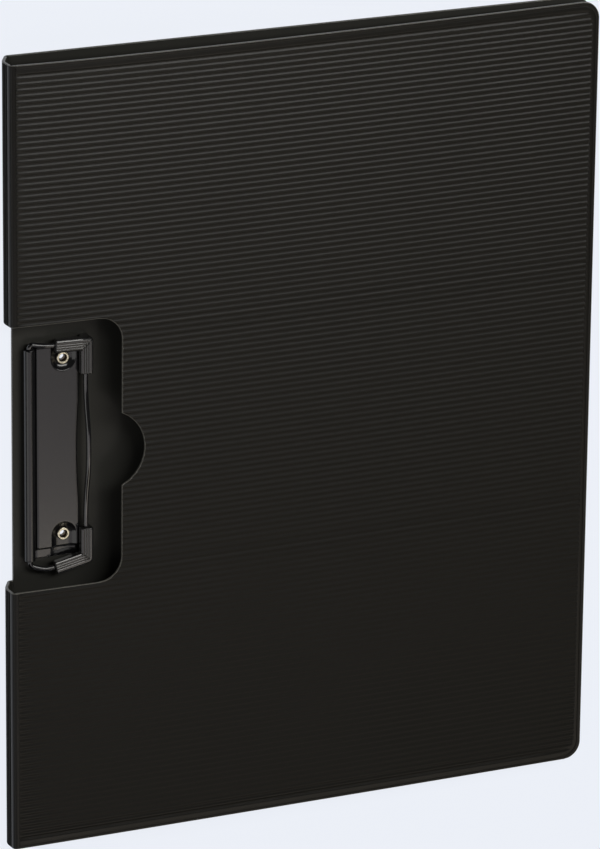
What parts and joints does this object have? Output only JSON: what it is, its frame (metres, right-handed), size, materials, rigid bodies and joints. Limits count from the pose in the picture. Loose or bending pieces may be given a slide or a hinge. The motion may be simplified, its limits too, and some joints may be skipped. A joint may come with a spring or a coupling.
{
  "type": "clip folder",
  "caption": "Plastic clip folder with ribbed front cover, window in the spine edge and a low wire-lever paper clip riveted inside.",
  "frame": {"origin": "under the middle of the folder's bounding box, on the surface that it lies on", "axes": "+X from the spine to the fore-edge, +Y up the page, +Z out of the page, from the back cover to the front cover"},
  "size_m": [0.2414, 0.31, 0.0161],
  "materials": {
    "black_sheet": "embossed polypropylene, satin",
    "black_plate": "gloss black baked enamel on pressed steel",
    "black_wire": "gloss black coated wire",
    "grey_sleeve": "moulded, satin, lengthwise grooves",
    "eyelet_metal": "nickel plated, bright"
  },
  "bodies": {
    "back": {"back_cover": "black_sheet", "base_plate": "black_plate", "upper_eyelet": "eyelet_metal", "lower_eyelet": "eyelet_metal"},
    "spine": {"spine_upper": "black_sheet", "spine_lower": "black_sheet"},
    "cover": {"front_cover": "black_sheet"},
    "lever": {"wire_lever": "black_wire", "upper_sleeve": "grey_sleeve", "lower_sleeve": "grey_sleeve"}
  },
  "joints": [
    {"name": "rear_crease", "type": "hinge", "parent": "back", "child": "spine", "pos_m": [-0.1163, 0, 0.0006], "axis": [0, -1, 0], "range_deg": [0, 150]},
    {"name": "front_crease", "type": "hinge", "parent": "spine", "child": "cover", "pos_m": [-0.1193, 0, 0.0139], "axis": [0, -1, 0], "range_deg": [0, 180]},
    {"name": "lever_hinge", "type": "hinge", "parent": "back", "child": "lever", "pos_m": [-0.109, 0, 0.0037], "axis": [0, -1, 0], "range_deg": [0, 150]}
  ]
}
